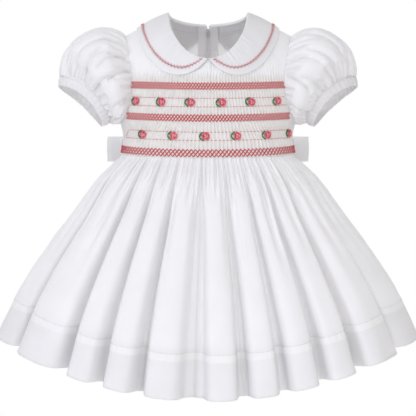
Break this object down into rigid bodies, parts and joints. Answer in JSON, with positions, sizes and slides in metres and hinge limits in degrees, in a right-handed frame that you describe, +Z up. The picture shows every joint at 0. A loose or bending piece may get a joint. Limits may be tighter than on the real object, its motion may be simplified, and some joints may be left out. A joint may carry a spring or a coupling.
{
  "type": "toddler dress",
  "caption": "Toddler's white cotton party dress with smocked bodice, round collar, puff sleeves, gathered skirt and back bow, filled out as if worn and hollow inside.",
  "frame": {"origin": "between the shoulders: on the mid plane between the wearer's left and right, at the depth of the shoulder seams and halfway up them, where the wearer's shoulders hold the dress", "axes": "+X to the wearer's left, +Y to the wearer's back, +Z up; the front of the dress faces -Y"},
  "size_m": [0.566, 0.3802, 0.4822],
  "materials": {
    "cotton": "matte woven cotton",
    "ribbon": "soft sheen",
    "zip_tape": "matte woven tape",
    "zip_metal": "satin"
  },
  "bodies": {
    "dress": {"front_bodice": "cotton", "back_bodice_left": "cotton", "back_bodice_right": "cotton", "neck_binding": "cotton", "collar_left": "cotton", "collar_right": "cotton", "sleeve_left": "cotton", "sleeve_right": "cotton", "cuff_left": "cotton", "cuff_right": "cotton", "skirt_front": "cotton", "skirt_back": "cotton", "sash_left": "ribbon", "sash_right": "ribbon", "bow_loop_left": "ribbon", "bow_loop_right": "ribbon", "bow_knot": "ribbon", "bow_tail_left": "ribbon", "bow_tail_right": "ribbon", "zip_tape_left": "zip_tape", "zip_tape_right": "zip_tape", "zip_slider": "zip_metal"},
    "pull_tab": {"zip_pull_tab": "zip_metal"}
  },
  "joints": [
    {"name": "pull_tab_hinge", "type": "hinge", "parent": "dress", "child": "pull_tab", "pos_m": [0, 0.05191, -0.00455], "axis": [1, 0, 0], "range_deg": [0, 150]}
  ]
}
